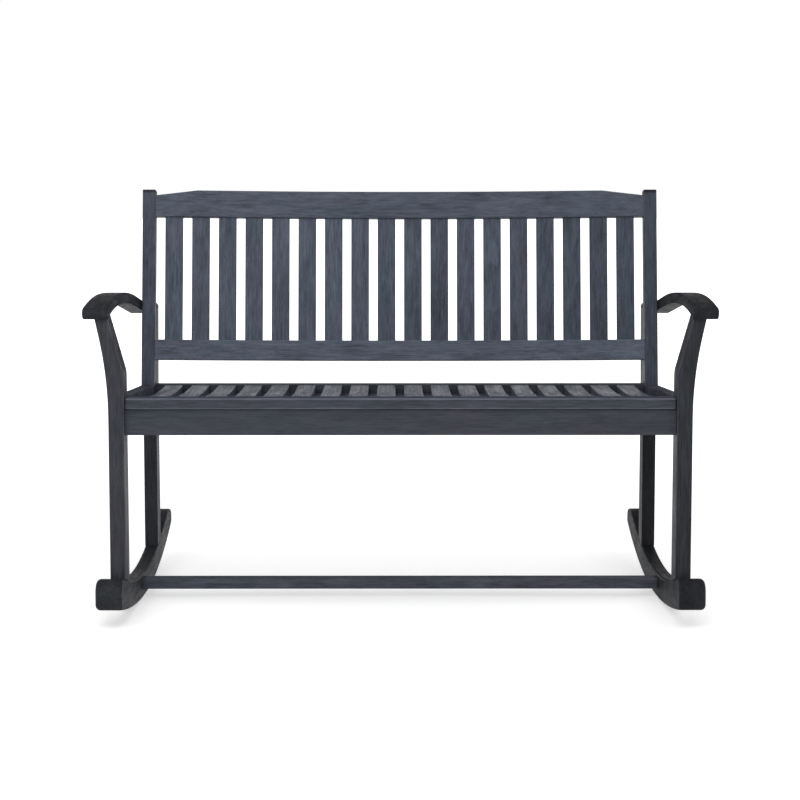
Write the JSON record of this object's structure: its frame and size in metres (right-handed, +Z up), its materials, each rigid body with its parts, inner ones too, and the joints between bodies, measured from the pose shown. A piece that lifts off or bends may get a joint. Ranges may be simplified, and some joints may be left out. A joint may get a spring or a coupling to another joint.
{
  "type": "rocking bench",
  "caption": "Two-seat slatted wooden rocking bench with arched arms, a scooped seat, a leaning bowed back and two curved rockers joined by a stretcher.",
  "frame": {"origin": "on the floor, under the centre of the bench's bounding box", "axes": "+X to the right as seen from the front, along the bench's length; +Y to the rear; +Z up. The front of the seat faces -Y."},
  "size_m": [1.24, 0.867, 0.8633],
  "materials": {
    "stained_wood": "satin charcoal grey stain or paint with the grain showing",
    "bolt_steel": "black",
    "nut_steel": "zinc plated",
    "screw_steel": "zinc plated"
  },
  "bodies": {
    "root": {"rocker_left": "stained_wood", "rocker_right": "stained_wood", "toe_block_left": "stained_wood", "toe_block_right": "stained_wood", "front_leg_left": "stained_wood", "front_leg_right": "stained_wood", "rear_leg_left": "stained_wood", "rear_leg_right": "stained_wood", "arm_left": "stained_wood", "arm_right": "stained_wood", "seat_side_rail_left": "stained_wood", "seat_side_rail_right": "stained_wood", "seat_front_cap": "stained_wood", "seat_front_apron": "stained_wood", "seat_rear_rail": "stained_wood", "seat_bearers": "stained_wood", "back_stile_left": "stained_wood", "back_stile_right": "stained_wood", "back_top_rail": "stained_wood", "back_bottom_rail": "stained_wood", "rocker_stretcher": "stained_wood", "seat_slat_01": "stained_wood", "seat_slat_02": "stained_wood", "seat_slat_03": "stained_wood", "seat_slat_04": "stained_wood", "seat_slat_05": "stained_wood", "seat_slat_06": "stained_wood", "seat_slat_07": "stained_wood", "seat_slat_08": "stained_wood", "seat_slat_09": "stained_wood", "seat_slat_10": "stained_wood", "seat_slat_11": "stained_wood", "seat_slat_12": "stained_wood", "seat_slat_13": "stained_wood", "seat_slat_14": "stained_wood", "seat_slat_15": "stained_wood", "seat_slat_16": "stained_wood", "seat_slat_17": "stained_wood", "seat_slat_18": "stained_wood", "back_slat_01": "stained_wood", "back_slat_02": "stained_wood", "back_slat_03": "stained_wood", "back_slat_04": "stained_wood", "back_slat_05": "stained_wood", "back_slat_06": "stained_wood", "back_slat_07": "stained_wood", "back_slat_08": "stained_wood", "back_slat_09": "stained_wood", "back_slat_10": "stained_wood", "back_slat_11": "stained_wood", "back_slat_12": "stained_wood", "back_slat_13": "stained_wood", "back_slat_14": "stained_wood", "back_slat_15": "stained_wood", "back_slat_16": "stained_wood", "back_slat_17": "stained_wood", "back_slat_18": "stained_wood", "frame_bolts": "bolt_steel", "barrel_nuts": "nut_steel", "wood_screws": "screw_steel"}
  },
  "joints": []
}
